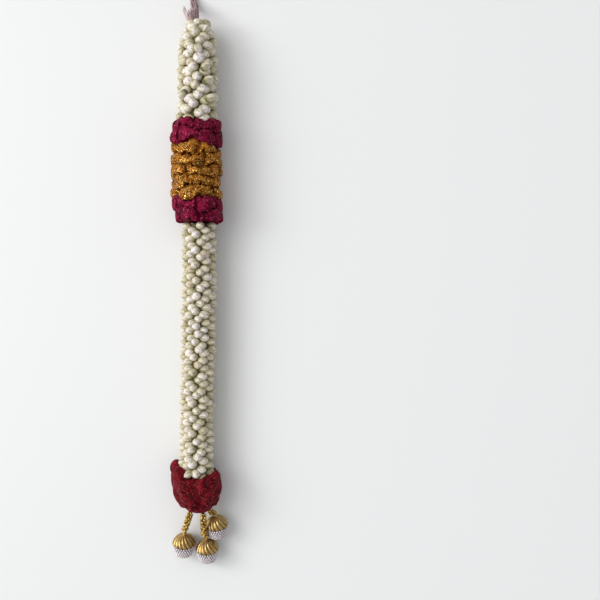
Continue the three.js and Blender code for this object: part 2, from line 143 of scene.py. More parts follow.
window = bpy.data.lights.new("window", "SUN")
window.energy = WINDOW_STRENGTH
window.angle = WINDOW_SPREAD
hang_light("window", window, WINDOW_DIRECTION)
left_box = bpy.data.lights.new("left_box", "AREA")
left_box.size = SOFTBOX_SIZE
left_box.energy = SOFTBOX_POWER
hang_light("left_box", left_box, SOFTBOX_TARGET - SOFTBOX_PLACE, SOFTBOX_PLACE)

# ---- Free threads ----------------------------------------------------------------------------------------
# The strand hangs by a loose bundle of pinkish cotton threads that comes out between its top buds.  Laid
# down, the bundle falls from the column to the surface and runs on along it to its knot.

THREADS_IN_BUNDLE = 9
THREAD_RADII = (1.15, 1.35)
THREAD_OFFSETS = (2.3, 2.8)
THREAD_TWIST = 0.012
THREAD_WANDER = 0.16
BUNDLE_SWELL = 0.4
SWELL_STEPS = 36
ROUTE_STEPS = 48
CURVE_STEPS = 12
THREAD_ROUTE = [Vector(point) * MM for point in (
    (-4.6, 353.6, 26.6), (-4.7, 356, 26.6), (-5, 359.4, 26), (-5.5, 363.5, 24.3), (-6.1, 367, 21.6),
    (-6.9, 371, 17.6), (-7.8, 375.2, 13.4), (-8.8, 379.4, 9.2), (-9.7, 383, 6.5), (-10.7, 387, 4.8),
    (-11.8, 391.4, 4.3), (-12.8, 395.6, 4.6), (-13.9, 399.7, 5.3), (-14.9, 403.9, 6.1), (-15.9, 408, 6.4),
)]


def strand_along(points, thickness, sides=8):
    """A bmesh of one round strand through the points, with closed ends and one thickness, or one a point."""
    line = bpy.data.curves.new("strand_line", "CURVE")
    line.dimensions = "3D"
    line.bevel_depth = 1
    line.bevel_resolution = (sides - 4) // 2
    line.use_fill_caps = True
    spline = line.splines.new("POLY")
    spline.points.add(len(points) - 1)
    for i, point in enumerate(points):
        spline.points[i].co = (*point, 1)
        spline.points[i].radius = thickness[i] if isinstance(thickness, list) else thickness
    holder = bpy.data.objects.new("strand_line", line)
    mesh = bpy.data.meshes.new_from_object(holder)
    bm = bmesh.new()
    bm.from_mesh(mesh)
    bmesh.ops.remove_doubles(bm, verts=bm.verts, dist=0.01 * MM)
    bpy.data.meshes.remove(mesh)
    bpy.data.objects.remove(holder)
    bpy.data.curves.remove(line)
    return bm


def smooth_line(points, steps):
    """Points evenly spread along a smooth line through the given ones."""
    dense = []
    ends = [2 * points[0] - points[1], *points, 2 * points[-1] - points[-2]]
    for a, b, c, d in zip(ends, ends[1:], ends[2:], ends[3:]):
        for i in range(CURVE_STEPS):
            t = i / CURVE_STEPS
            dense.append(0.5 * (2 * b + t * (c - a) + t * t * (2 * a - 5 * b + 4 * c - d)
                                + t ** 3 * (3 * b - 3 * c + d - a)))
    dense.append(points[-1])
    reach = [0.0]
    for a, b in zip(dense, dense[1:]):
        reach.append(reach[-1] + (b - a).length)
    line = []
    at = 0
    for i in range(steps + 1):
        goal = reach[-1] * i / steps
        while at < len(dense) - 2 and reach[at + 1] < goal:
            at += 1
        share = (goal - reach[at]) / (reach[at + 1] - reach[at])
        line.append(dense[at].lerp(dense[at + 1], min(share, 1)))
    return line


def add_to(bm, part):
    """Adds one bmesh to another."""
    mesh = bpy.data.meshes.new("part")
    part.to_mesh(mesh)
    part.free()
    bm.from_mesh(mesh)
    bpy.data.meshes.remove(mesh)


def own_noise(nodes, links, scale, detail=2.0, stretch=None):
    """Noise in a piece's own space, drawn out along an axis where `stretch` is under 1."""
    place = nodes.new("ShaderNodeTexCoord").outputs["Object"]
    if stretch:
        mapping = nodes.new("ShaderNodeMapping")
        mapping.inputs["Scale"].default_value = stretch
        links.new(place, mapping.inputs["Vector"])
        place = mapping.outputs[0]
    texture = nodes.new("ShaderNodeTexNoise")
    texture.inputs["Scale"].default_value = scale
    texture.inputs["Detail"].default_value = detail
    links.new(place, texture.inputs["Vector"])
    return texture.outputs["Fac"]


def raised_by(nodes, links, height, strength, distance):
    """A bump node that raises the surface by a height."""
    bump = nodes.new("ShaderNodeBump")
    bump.inputs["Strength"].default_value = strength
    bump.inputs["Distance"].default_value = distance
    links.new(height, bump.inputs["Height"])
    return bump


def cotton(name, pale, deep):
    """Spun cotton: soft, with fine fibres that lie along Y and uneven dye."""
    material, nodes, links, shader = finish_of(name, roughness=0.85)
    fibres = own_noise(nodes, links, scale=620, detail=3, stretch=(1, 0.05, 1))
    dye = shades_of(nodes, (0.36, deep), (0.64, pale))
    raised = raised_by(nodes, links, fibres, strength=0.6, distance=0.3 * MM)
    links.new(fibres, dye.inputs[0])
    links.new(dye.outputs[0], shader.inputs["Base Color"])
    links.new(raised.outputs[0], shader.inputs["Normal"])
    shader.inputs["Sheen Weight"].default_value = 0.3
    return material


thread_cotton = cotton("thread_cotton", pale=(0.50, 0.33, 0.335), deep=(0.13, 0.058, 0.07))

route = smooth_line(THREAD_ROUTE, ROUTE_STEPS)
draw = random.Random(5)
bundle = bmesh.new()
for i in range(THREADS_IN_BUNDLE):
    around = 2 * math.pi * i / (THREADS_IN_BUNDLE - 1)
    offset = 0 if i == THREADS_IN_BUNDLE - 1 else draw.uniform(*THREAD_OFFSETS)
    line = []
    for step, point in enumerate(route):
        spread_out = offset * MM * (1 + BUNDLE_SWELL * math.sin(math.pi * min(step / SWELL_STEPS, 1)))
        ahead = (route[min(step + 1, ROUTE_STEPS)] - route[max(step - 1, 0)]).normalized()
        side = ahead.cross(Vector((1, 0, 0))).normalized()
        turn = around + THREAD_TWIST * step + THREAD_WANDER * math.sin(0.2 * step + 2.2 * i)
        spread = side * math.sin(turn) + ahead.cross(side) * math.cos(turn)
        line.append(point + spread * spread_out)
    add_to(bundle, strand_along(line, draw.uniform(*THREAD_RADII) * MM))
tie_threads = piece_from(bundle, "cotton_threads", thread_cotton)
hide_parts("tie_threads")
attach(tie_threads, "root")

# ---- Knot ------------------------------------------------------------------------------------------------
# The bundle ends in a knot: its threads are wound tightly round themselves, and their cut ends fan out of the
# winding as a short tassel.  The ends lie on the surface.

KNOT_START = THREAD_ROUTE[-1] + Vector((0, 0.8, 0)) * MM
KNOT_TILT = math.atan2(-1, 4.1)
WINDING_RADIUS = 4.7 * MM
WINDING_LAYERS = 2
WINDING_TURNS = 5
WINDING_STEPS = 16 * WINDING_TURNS
WINDING_FROM = 1.2
WINDING_LENGTH = 8.2
WINDING_WAIST = 0.28
WINDING_THREAD = 1.15 * MM
TASSEL_THREADS = 14
TASSEL_STEPS = 8
TASSEL_LENGTH = 25 * MM
TASSEL_RADIUS = 2.6
TASSEL_FAN = 2.2
TASSEL_DROOP = 1.2 * MM
TASSEL_THICKNESS = [1.0 * MM] * TASSEL_STEPS + [0.6 * MM]
FLOOR_GAP = 0.1 * MM


def keep_above(bm, gap):
    """Keeps a bmesh's points no lower than a gap above the surface."""
    for vert in bm.verts:
        vert.co.z = max(vert.co.z, gap)


winding = bmesh.new()
for layer in range(WINDING_LAYERS):
    turns = []
    for i in range(WINDING_STEPS + 1):
        share = i / WINDING_STEPS
        angle = 2 * math.pi * WINDING_TURNS * share + layer * math.pi
        swell = 1 - WINDING_WAIST + WINDING_WAIST * math.sin(math.pi * share) ** 0.5
        along = (WINDING_FROM + WINDING_LENGTH * share) * MM
        radius = WINDING_RADIUS * swell
        turns.append(Vector((radius * math.cos(angle), along, radius * math.sin(angle))))
    add_to(winding, strand_along(turns, WINDING_THREAD))
draw = random.Random(8)
for i in range(TASSEL_THREADS):
    angle = draw.uniform(0, 2 * math.pi)
    fan = draw.uniform(0.6, 1)
    tail = []
    for step in range(TASSEL_STEPS + 1):
        share = step / TASSEL_STEPS
        radius = (TASSEL_RADIUS + TASSEL_FAN * fan * share ** 1.6) * MM
        lift = radius * math.sin(angle) - TASSEL_DROOP * share
        along = share * TASSEL_LENGTH * draw.uniform(0.98, 1)
        tail.append(Vector((radius * math.cos(angle), along, lift)))
    add_to(winding, strand_along(tail, TASSEL_THICKNESS))
bmesh.ops.transform(winding, verts=winding.verts,
                    matrix=Matrix.Translation(KNOT_START) @ Matrix.Rotation(-KNOT_TILT, 4, "Z"))
keep_above(winding, FLOOR_GAP)
tie_knot = piece_from(winding, "thread_knot", thread_cotton)
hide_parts("tie_knot")
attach(tie_knot, "root")

# ---- Thread ends -----------------------------------------------------------------------------------------
# Cut ends of the same threads, left standing beside the bundle where it was tied off.  They are frayed, and
# of a paler cotton than the bundle.

ENDS = 14
END_FEET = ((-9.5, -5.5), 343, (29, 36))
END_REACHES = (16, 29)
END_LEANS = (-0.55, -0.12)
END_DROOP = 3
END_STEPS = 8
END_THICKNESS = [1.0 * MM] * 6 + [1.2 * MM, 1.1 * MM, 0.6 * MM]

faded_cotton = cotton("faded_cotton", pale=(0.72, 0.60, 0.60), deep=(0.34, 0.20, 0.21))

draw = random.Random(17)
tuft = bmesh.new()
for i in range(ENDS):
    foot = Vector((draw.uniform(*END_FEET[0]), END_FEET[1], draw.uniform(*END_FEET[2])))
    reach = draw.uniform(*END_REACHES)
    lean = draw.uniform(*END_LEANS)
    end = []
    for step in range(END_STEPS + 1):
        share = step / END_STEPS
        bend = Vector((lean * reach * share ** 0.8, reach * share, -END_DROOP * share ** 2))
        end.append((foot + bend) * MM)
    add_to(tuft, strand_along(end, END_THICKNESS, sides=6))
thread_ends = piece_from(tuft, "thread_ends", faded_cotton)
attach(thread_ends, "root")

# ---- Core string -----------------------------------------------------------------------------------------
# The same cotton, in one tight string through the middle of the buds, the ruffles and the pompon.  They are
# threaded on it, and it is hidden.

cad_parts["core_string"].data.materials.clear()
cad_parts["core_string"].data.materials.append(thread_cotton)

# ---- Jasmine buds ----------------------------------------------------------------------------------------
# Closed jasmine buds, strung in tight whorls by their slim green calyxes with their tips outwards.  Each is a
# few waxy petals wound round each other in a spiral.  Every other bud of a whorl sits half a whorl lower.

SWAY = ((360, -2), (240, -2), (200, -3.8), (140, -3.4), (88, -0.2), (-48, -1.3), (-190, -3.9), (-238, -4.2),
        (-285, -0.4))
HEIGHT = ((360, 26.6), (280, 27), (205, 28.4), (116, 28.4), (30, 23.4), (-180, 23.4), (-258, 27.2))
PRESSED = 0.15 * MM
BUD_LENGTH = 16
BUD_SIDES = 9
BUD_TIP = 0.3
CALYX_LENGTH = 4
PETALS = 3
PETAL_EDGE = 0.1
BUD_SHAPES = {
    "closed": ((2.2, 1.4), (4.7, 3.8), (5.7, 6.6), (5.7, 9.4), (4.95, 12.0), (3.4, 14.3), (1.5, 15.6)),
    "pointed": ((2.2, 1.4), (4.6, 3.8), (5.5, 6.6), (5.4, 9.4), (4.5, 11.9), (2.8, 14.2), (1.1, 15.9)),
    "loose": ((2.2, 1.4), (4.7, 4.0), (5.8, 7.2), (6.1, 10.2), (5.6, 12.6), (4.1, 14.6), (2.0, 15.4)),
}
BUD_TWISTS = (1.1, 2.0)
BUD_CHANCES = (5, 5, 3, 3, 1, 1)
BUD_LEAN = 0.8
BUD_TURNS = (0, 35, 71, 118, 158)
# Painted light: buds facing up are painted brightest, and those turned to the sides duller, as painted shade.
BUD_PAINTED_LIGHT = (1, 0.96, 0.91, 0.91, 0.91)
BUD_BREADTH = 1.18
BUD_DEPTH = 0.95
BUD_WIDTHS = (0.94, 1.06)
BUD_REACHES = (-1.3, 0.7)
SIDE_BUD_INSET = 1.2
FIRST_WHORL = 0.45
SETTLING_WHORLS = 3
DOME_RADIUS = 9
DOME_CURVE = 1.7
DOME_DEPTH = 0.75
STRAY_SIZE = 0.95
STRAYS = (
    ((-2, 338, 36), (0.0, 1, 0.25)), ((6, 331, 36), (0.45, 1, 0.25)), ((10, 329, 25), (0.6, 1, -0.1)),
    ((-11, 327, 34), (-0.5, 1, 0.1)), ((-9, 330, 20), (-0.35, 1, -0.3)), ((3, 332, 15), (0.1, 1, -0.4)),
    ((4, 283, 49), (0.8, 0.6, 0.05)), ((7, 268, 49), (0.9, 0.45, 0)), ((9, 245, 48), (0.8, 0.4, 0)),
    ((-3, 318, 51), (0.5, -0.75, 0.2)), ((-12, 258, 48), (-0.8, -0.4, 0)),
)


def eased_at(stations, y):
    """A value at y, eased from one station to the next and level beyond the ends."""
    last = len(stations) - 2
    i = 0
    while i < last and y < stations[i + 1][0]:
        i += 1
    (start, a), (end, b) = stations[i], stations[i + 1]
    share = min(max((start - y) / (start - end), 0), 1)
    return a + (b - a) * share * share * (3 - 2 * share)


def around_strand(angle, y, radius):
    """A point round the strand's swaying line, in metres, from a direction, and a place and radius in mm."""
    x = eased_at(SWAY, y) + radius * math.cos(angle)
    z = eased_at(HEIGHT, y) + radius * math.sin(angle)
    return Vector((x, y, z)) * MM


def bud_form(outline, twist):
    """One bud on +Z, with its base at zero, as a mesh.  Its UV map winds round it with its petals' edges, and
    the red of its attribute holds how far along the bud a point is."""
    bm = bmesh.new()
    spots = [bm.verts.new((radius, 0, along)) for radius, along in outline]
    edges = [bm.edges.new(pair) for pair in zip(spots, spots[1:])]
    bmesh.ops.spin(bm, geom=spots + edges, cent=(0, 0, 0), axis=(0, 0, 1), angle=2 * math.pi,
                   steps=BUD_SIDES, use_merge=True)
    bmesh.ops.remove_doubles(bm, verts=bm.verts, dist=0.01)
    bmesh.ops.holes_fill(bm, edges=[edge for edge in bm.edges if edge.is_boundary], sides=0)
    ends = [face for face in bm.faces if len(face.verts) == BUD_SIDES]
    tip = [face for face in ends if face.calc_center_median().z > BUD_LENGTH / 2]
    for vert in bmesh.ops.poke(bm, faces=tip)["verts"]:
        vert.co.z += BUD_TIP
    winding = bm.loops.layers.uv.new("petals")
    for face in bm.faces:
        middle = face.calc_center_median()
        facing = math.atan2(middle.y, middle.x)
        for loop in face.loops:
            x, y, z = loop.vert.co
            on_axis = math.hypot(x, y) <= 0.01
            apart = 0 if on_axis else math.remainder(math.atan2(y, x) - facing, 2 * math.pi)
            loop[winding].uv = ((facing + apart) / (2 * math.pi), z / BUD_LENGTH)
    layer = bm.verts.layers.float_color.new("bud")
    for vert in bm.verts:
        x, y, z = vert.co
        angle = math.atan2(y, x)
        overlap = (PETALS * angle / (2 * math.pi)) % 1
        on_head = min(max((z - CALYX_LENGTH) / 4, 0), 1)
        vert[layer] = (z / BUD_LENGTH, 0, 0, 1)
        radius = math.hypot(x, y) * (1 + PETAL_EDGE * (overlap - 0.33) * on_head)
        wound = angle + twist * z / BUD_LENGTH
        vert.co = (radius * math.cos(wound), radius * math.sin(wound), z)
    bmesh.ops.recalc_face_normals(bm, faces=bm.faces)
    mesh = bpy.data.meshes.new("bud")
    bm.to_mesh(mesh)
    bm.free()
    return mesh


def worked_out(nodes, links, operation, *terms):
    """A sum from its terms, which are numbers or other nodes' outputs."""
    node = nodes.new("ShaderNodeMath")
    node.operation = operation
    for socket, term in zip(node.inputs, terms):
        if isinstance(term, (int, float)):
            socket.default_value = term
        else:
            links.new(term, socket)
    return node.outputs[0]


def multiplied(nodes, links, colour, by):
    """One colour darkened or tinted by another."""
    product = nodes.new("ShaderNodeMix")
    product.data_type = "RGBA"
    product.blend_type = "MULTIPLY"
    product.inputs["Factor"].default_value = 1
    links.new(colour, product.inputs["A"])
    links.new(by, product.inputs["B"])
    return product.outputs["Result"]


def jasmine(name):
    """Waxy ivory petals, lilac white at the tips and cream and green down the flanks, with painted shade
    along the petals' overlapping edges and painted shade near black at the base, deep between the buds.  The
    red of the buds' attribute is the place along the bud, less for a bud painted duller as shade at the
    sides, and its blue is the bud's tint, random and raised for the buds that face up as painted light."""
    material, nodes, links, shader = finish_of(name, roughness=0.46)
    marks = nodes.new("ShaderNodeAttribute")
    marks.attribute_name = "bud"
    split = nodes.new("ShaderNodeSeparateColor")
    links.new(marks.outputs["Color"], split.inputs[0])
    # Lilac white at the tip, cream and green down the flank, and painted shade near black at the base between
    # the buds.
    along = shades_of(nodes, (0.1, (0.05, 0.06, 0.012)), (0.22, (0.22, 0.20, 0.07)),
                      (0.40, (0.54, 0.50, 0.32)), (0.68, (0.71, 0.66, 0.53)), (0.88, (0.84, 0.785, 0.71)),
                      (0.98, (0.93, 0.87, 0.93)))
    links.new(split.outputs["Red"], along.inputs[0])
    tint_and_painted_light = shades_of(nodes, (0, (0.82, 0.72, 0.60)), (0.10, (0.74, 0.71, 0.54)), (0.34, (0.89, 0.86, 0.74)),
                     (0.60, (0.96, 0.93, 0.85)), (0.78, (1, 0.97, 0.95)), (1, (1.0, 0.99, 1.0)))
    links.new(split.outputs["Blue"], tint_and_painted_light.inputs[0])
    unwound = nodes.new("ShaderNodeSeparateXYZ")
    links.new(nodes.new("ShaderNodeTexCoord").outputs["UV"], unwound.inputs[0])
    wander = own_noise(nodes, links, scale=150)
    turns = worked_out(nodes, links, "MULTIPLY_ADD", unwound.outputs["X"], PETALS, wander)
    overlap = worked_out(nodes, links, "FRACT", turns)
    # Painted shade along the petals' overlapping edges, a little lighter at the rims.
    edge = shades_of(nodes, (0, (0.30, 0.29, 0.20)), (0.10, (0.66, 0.65, 0.56)), (0.30, (0.95, 0.95, 0.93)),
                     (1, (1.04, 1.04, 1.04)))
    links.new(overlap, edge.inputs[0])
    veins = own_noise(nodes, links, scale=420, detail=4)
    mottle = ranged(nodes, links, veins, into=(0.86, 1.06), out_of=(0.3, 0.7))
    tinted = multiplied(nodes, links, along.outputs[0], tint_and_painted_light.outputs[0])
    shaded_at_overlaps = multiplied(nodes, links, tinted, edge.outputs[0])
    links.new(multiplied(nodes, links, shaded_at_overlaps, mottle), shader.inputs["Base Color"])
    steps = raised_by(nodes, links, overlap, strength=0.5, distance=0.6 * MM)
    raised = raised_by(nodes, links, veins, strength=0.35, distance=0.4 * MM)
    links.new(steps.outputs[0], raised.inputs["Normal"])
    links.new(raised.outputs[0], shader.inputs["Normal"])
    shader.inputs["Subsurface Weight"].default_value = 0.12
    shader.inputs["Subsurface Radius"].default_value = (0.8, 0.9, 0.4)
    shader.inputs["Subsurface Scale"].default_value = 2 * MM
    shader.inputs["Coat Weight"].default_value = 0.12
    shader.inputs["Coat Roughness"].default_value = 0.35
    return material


bud_petals = jasmine("jasmine_petals")
bud_forms = [bud_form(outline, twist) for outline in BUD_SHAPES.values() for twist in BUD_TWISTS]


def add_bud(bm, form, lie, painted_light, tint_and_painted_light):
    """Adds a copy of a bud to a column, placed and coloured."""
    bud = form.copy()
    for mark in bud.attributes["bud"].data:
        mark.color = (mark.color[0] * painted_light, 0, tint_and_painted_light, 1)
    bud.transform(lie)
    bm.from_mesh(bud)
    bpy.data.meshes.remove(bud)


def bud_column(name, node, top, length, radius, whorls, zigzag, gaps, size, lift, hang, skew, flare, dome,
               unruly, strays, seed):
    """A column of buds in whorls.  A whorl's buds point `BUD_TURNS` degrees to each side of straight up.
    `zigzag` is how far the uppermost ones turn from side to side, `gaps` the share left out beside them, and
    `lift` how much further up the first whorl's tips point.  The last whorls hang down by `hang`, stand out
    by `flare` and end higher at the left by `skew`.  `dome` is the length that rounds in at the top, `unruly`
    how far the tips stray, and `strays` are single buds, each with its place and the way it points."""
    draw = random.Random(seed)
    pitch = length / whorls
    heart = radius - BUD_LENGTH
    spots = []
    for whorl in range(whorls):
        for place, turn in enumerate(BUD_TURNS):
            level = whorl + 0.5 * (place % 2)
            spots += [(whorl, level, place, side * turn) for side in ((1, -1) if place else (1,))]
    bm = bmesh.new()
    for whorl, level, place, turn in spots:
        if place == 1 and draw.random() < gaps:
            continue
        y = top - pitch * (level + FIRST_WHORL)
        into_dome = min(max(1 - (top - y) / dome, 0), 1) if dome else 0
        inward = (radius - DOME_RADIUS) * DOME_DEPTH * into_dome ** DOME_CURVE
        settled = max(0, 1 - (whorls - 0.5 - level) / SETTLING_WHORLS)
        droop = BUD_LEAN + hang * settled ** 1.3 - lift * max(0, 1 - level)
        wave = 0.07 * math.sin(0.021 * y + seed)
        angle = math.pi / 2 + math.radians(turn) + wave + draw.uniform(-0.07, 0.07)
        angle += zigzag * (1 if whorl % 2 else -1) * draw.uniform(0.6, 1.2) * (0.5 if place else 1)
        y += skew * settled * min(max(0.35 - 1.5 * math.cos(angle), 0), 1)
        reach = radius - inward + draw.uniform(*BUD_REACHES) + flare * settled ** 2
        reach -= SIDE_BUD_INSET if place == 1 else 0
        base_angle = angle + draw.uniform(-0.1, 0.1)
        base = around_strand(base_angle, y + draw.uniform(-0.4, 0.4) * unruly, heart - inward)
        tip_angle = angle + draw.uniform(-0.045, 0.045) * unruly
        tip = around_strand(tip_angle, y - droop + draw.uniform(-0.6, 0.6) * unruly, reach)
        width = size * draw.uniform(*BUD_WIDTHS)
        out = (tip - base).normalized()
        across = Vector((0, 1, 0)).cross(out).normalized()
        facing = Matrix((across, out.cross(across), out)).transposed().to_4x4()
        broad = (BUD_BREADTH if place else 1) * width * MM
        pressed = Matrix.Diagonal((broad, BUD_DEPTH * width * MM, (tip - base).length / BUD_LENGTH, 1))
        spin = Matrix.Rotation(draw.uniform(0, 2 * math.pi), 4, "Z")
        form = draw.choices(bud_forms, BUD_CHANCES)[0]
        # Buds facing up get a whiter tint than those at the sides: painted light over a random tint of their
        # own.
        tint_and_painted_light = draw.random() ** 0.8 if place < 2 else 0.15 + 0.55 * draw.random()
        add_bud(bm, form, Matrix.Translation(base) @ facing @ pressed @ spin, BUD_PAINTED_LIGHT[place], tint_and_painted_light)
    for place, way in strays:
        facing = Vector(way).to_track_quat("Z", "Y").to_matrix().to_4x4()
        lie = Matrix.Translation(Vector(place) * MM) @ facing @ Matrix.Scale(STRAY_SIZE * MM, 4)
        add_bud(bm, bud_forms[0], lie, painted_light=1, tint_and_painted_light=0.8)
    keep_above(bm, PRESSED)
    column = piece_from(bm, name, bud_petals)
    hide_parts(node)
    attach(column, "root")


bud_column("jasmine_upper", "upper_buds", top=352, length=127, radius=27.3, whorls=11, zigzag=0.2, gaps=0,
           size=1.27, lift=3, hang=3.5, skew=0, flare=0.5, dome=34, unruly=2.8, strays=STRAYS, seed=11)
bud_column("jasmine_lower", "lower_buds", top=90.4, length=325, radius=23.8, whorls=33, zigzag=0.18, gaps=0,
           size=1.05, lift=2, hang=4.5, skew=6, flare=3.5, dome=0, unruly=1.1, strays=(), seed=23)

# ---- Stems -----------------------------------------------------------------------------------------------
# Round beds of green stems and calyxes that fill the middle of each column of buds.  They hold the buds apart
# and show dark between them.

STEM_SIDES = 24
STEM_RING = 12
STEM_HOLE = 3
STEM_EDGE = 0.5

stem_green, nodes, links, shader = finish_of("stem_green", base=(0.10, 0.10, 0.04), roughness=0.8)
tangle = shades_of(nodes, (0, (0.03, 0.03, 0.01)), (1, (0.24, 0.23, 0.10)))
links.new(own_noise(nodes, links, scale=500), tangle.inputs[0])
links.new(tangle.outputs[0], shader.inputs["Base Color"])


def turned(outline, sides, join, closed=True):
    """A bmesh turned round Y from an outline of radii and places, with points nearer than `join` made one."""
    bm = bmesh.new()
    spots = [bm.verts.new((radius, place, 0)) for radius, place in outline]
    following = spots[1:] + spots[:1] if closed else spots[1:]
    edges = [bm.edges.new(pair) for pair in zip(spots, following)]
    bmesh.ops.spin(bm, geom=spots + edges, cent=(0, 0, 0), axis=(0, 1, 0), angle=2 * math.pi, steps=sides,
                   use_merge=True)
    bmesh.ops.remove_doubles(bm, verts=bm.verts, dist=join)
    return bm


def stem_bed(name, node, top, length, radius, first_radii):
    """The round bed of stems of a column.  Its first rings have radii of their own."""
    rings = max(2, round(length / STEM_RING))
    places = [STEM_EDGE] + [i / rings * length for i in range(1, rings)] + [length - STEM_EDGE]
    radii = [*first_radii, *[radius] * (len(places) - len(first_radii))]
    outline = [(STEM_HOLE, 0), *zip(radii, places), (STEM_HOLE, length)]
    bm = turned([(from_middle, -along) for from_middle, along in outline], STEM_SIDES, join=0.01)
    for vert in bm.verts:
        x, y, z = vert.co
        vert.co = around_strand(math.atan2(z, x), top + y, math.hypot(x, z))
    bmesh.ops.recalc_face_normals(bm, faces=bm.faces)
    bed = piece_from(bm, name, stem_green)
    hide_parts(node)
    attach(bed, "root")


stem_bed("stems_upper", "upper_buds", top=350, length=124, radius=17, first_radii=(8.5, 13.6))
stem_bed("stems_lower", "lower_buds", top=90, length=321, radius=13.5, first_radii=())

# ---- Ruffles ---------------------------------------------------------------------------------------------
# Strips of glitter cloth gathered tight on the threads, so that each puffs out as a crumpled ring against the
# next.  Two are crimson, five gold and two crimson.

RUFFLES_TOP = 222.6
RUFFLE_SIZES = (("crimson", 14.2, 27.6), ("crimson", 16, 28.8), *[("gold", 14.2, 28.6)] * 5,
                ("crimson", 15.4, 28.2), ("crimson", 13.2, 27.4))
RUFFLE_FLANK = ((15, 1), (18.5, 1), (21.5, 0.99))
RUFFLE_EDGE = 0.97
RUFFLE_STEPS = 20
RUFFLE_SIDES = 132
RUFFLE_HELD = 20
RUFFLE_GAP = 0.2
SEAM_RADIUS = 28.6
SEAM_WAVE = 1.8
SEAM_SLANT = (0, 0.5, 3.2, 2.6, 1.2, -0.8, -1.5, 0, 0.8, 0)
CLOTH_SCALE = 20
FOLD_SPREAD = 0.08
FOLD_START = 0.9
FLAKE_SCALE = 1350
CLUMP_SCALE = 130


def glitter_cloth(name, deep, base, bright, painted_glint, share, metal, rough_flakes):
    """Soft cloth covered in fine flakes: each lies its own way, and a share are glossier and carry a painted
    glint.
    """
    material, nodes, links, shader = finish_of(name, roughness=0.6, metallic=metal)
    place = nodes.new("ShaderNodeTexCoord")
    flakes = nodes.new("ShaderNodeTexVoronoi")
    flakes.inputs["Scale"].default_value = FLAKE_SCALE
    links.new(place.outputs["Object"], flakes.inputs["Vector"])
    split = nodes.new("ShaderNodeSeparateColor")
    links.new(flakes.outputs["Color"], split.inputs[0])
    clumps = own_noise(nodes, links, scale=CLUMP_SCALE, detail=3)
    shifted = worked_out(nodes, links, "SUBTRACT", clumps, 0.15)
    dye = shades_of(nodes, (0.30, deep), (0.5, base), (0.72, bright))
    links.new(worked_out(nodes, links, "MULTIPLY_ADD", split.outputs["Red"], 0.3, shifted), dye.inputs[0])
    # The flakes in this share are painted in a bright glint colour, a painted highlight, and are glossier.
    glint = worked_out(nodes, links, "GREATER_THAN", split.outputs["Green"], 1 - share)
    lit = nodes.new("ShaderNodeMix")
    lit.data_type = "RGBA"
    links.new(glint, lit.inputs["Factor"])
    links.new(dye.outputs[0], lit.inputs["A"])
    lit.inputs["B"].default_value = (*painted_glint, 1)
    links.new(lit.outputs["Result"], shader.inputs["Base Color"])
    links.new(ranged(nodes, links, glint, into=(0.75, 0.28)), shader.inputs["Roughness"])
    centred = nodes.new("ShaderNodeVectorMath")
    centred.operation = "SUBTRACT"
    centred.inputs[1].default_value = (0.5, 0.5, 0.5)
    links.new(flakes.outputs["Color"], centred.inputs[0])
    tipped = nodes.new("ShaderNodeVectorMath")
    tipped.operation = "MULTIPLY_ADD"
    tipped.inputs[1].default_value = (rough_flakes,) * 3
    links.new(centred.outputs[0], tipped.inputs[0])
    links.new(nodes.new("ShaderNodeNewGeometry").outputs["Normal"], tipped.inputs[2])
    facing = nodes.new("ShaderNodeVectorMath")
    facing.operation = "NORMALIZE"
    links.new(tipped.outputs[0], facing.inputs[0])
    links.new(facing.outputs[0], shader.inputs["Normal"])
    shader.inputs["Specular IOR Level"].default_value = 0.15
    return material


# The brightest colour of each cloth is a painted glint on its glossy flakes.
crimson_cloth = glitter_cloth("crimson_glitter", deep=(0.04, 0.001, 0.006), base=(0.15, 0.002, 0.023),
                              bright=(0.29, 0.006, 0.050), painted_glint=(0.62, 0.08, 0.18), share=0.06, metal=0.5,
                              rough_flakes=0.4)
gold_cloth = glitter_cloth("gold_glitter", deep=(0.075, 0.018, 0.002), base=(0.27, 0.080, 0.004),
                           bright=(0.52, 0.20, 0.014), painted_glint=(0.92, 0.58, 0.16), share=0.14, metal=0.6,
                           rough_flakes=0.55)


def seam_wave(seam, angle, radius):
    """How far the seam between two ruffles wanders up and down at a place."""
    reach = (radius / SEAM_RADIUS) ** 2
    wave = SEAM_WAVE * (math.sin(3 * angle + 1.7 * seam) + 0.6 * math.sin(5 * angle + 2.9 * seam))
    return reach * (wave - SEAM_SLANT[seam] * math.cos(angle))


def ruffle_ring(top, width, rim, seam, groove, flatness):
    """The smooth ring that a ruffle is crumpled from.  It fills the strand from one seam to the next."""
    outline = [*RUFFLE_FLANK]
    for i in range(RUFFLE_STEPS + 1):
        t = math.pi * (0.5 - i / RUFFLE_STEPS)
        outline.append((groove + (rim - groove) * math.cos(t) ** flatness, RUFFLE_EDGE * math.sin(t)))
    outline += [(radius, -side) for radius, side in reversed(RUFFLE_FLANK)]
    bm = turned(outline, RUFFLE_SIDES, join=0.001)
    middle = top - width / 2
    last = len(RUFFLE_SIZES) - 1
    for vert in bm.verts:
        x, side, z = vert.co
        angle, radius = math.atan2(z, x), math.hypot(x, z)
        upper = 0 if seam == 0 else seam_wave(seam, angle, radius)
        lower = 0 if seam == last else seam_wave(seam + 1, angle, radius)
        wander = lower + (upper - lower) * (side + 1) / 2
        puff = 1.1 * math.sin(4 * angle + 2.3 * seam) + 0.8 * math.sin(7 * angle + seam)
        puff = puff if radius > RUFFLE_HELD else 0
        vert.co = around_strand(angle, middle + side * (width - RUFFLE_GAP) / 2 + wander, radius + puff)
    bmesh.ops.recalc_face_normals(bm, faces=bm.faces)
    return bm


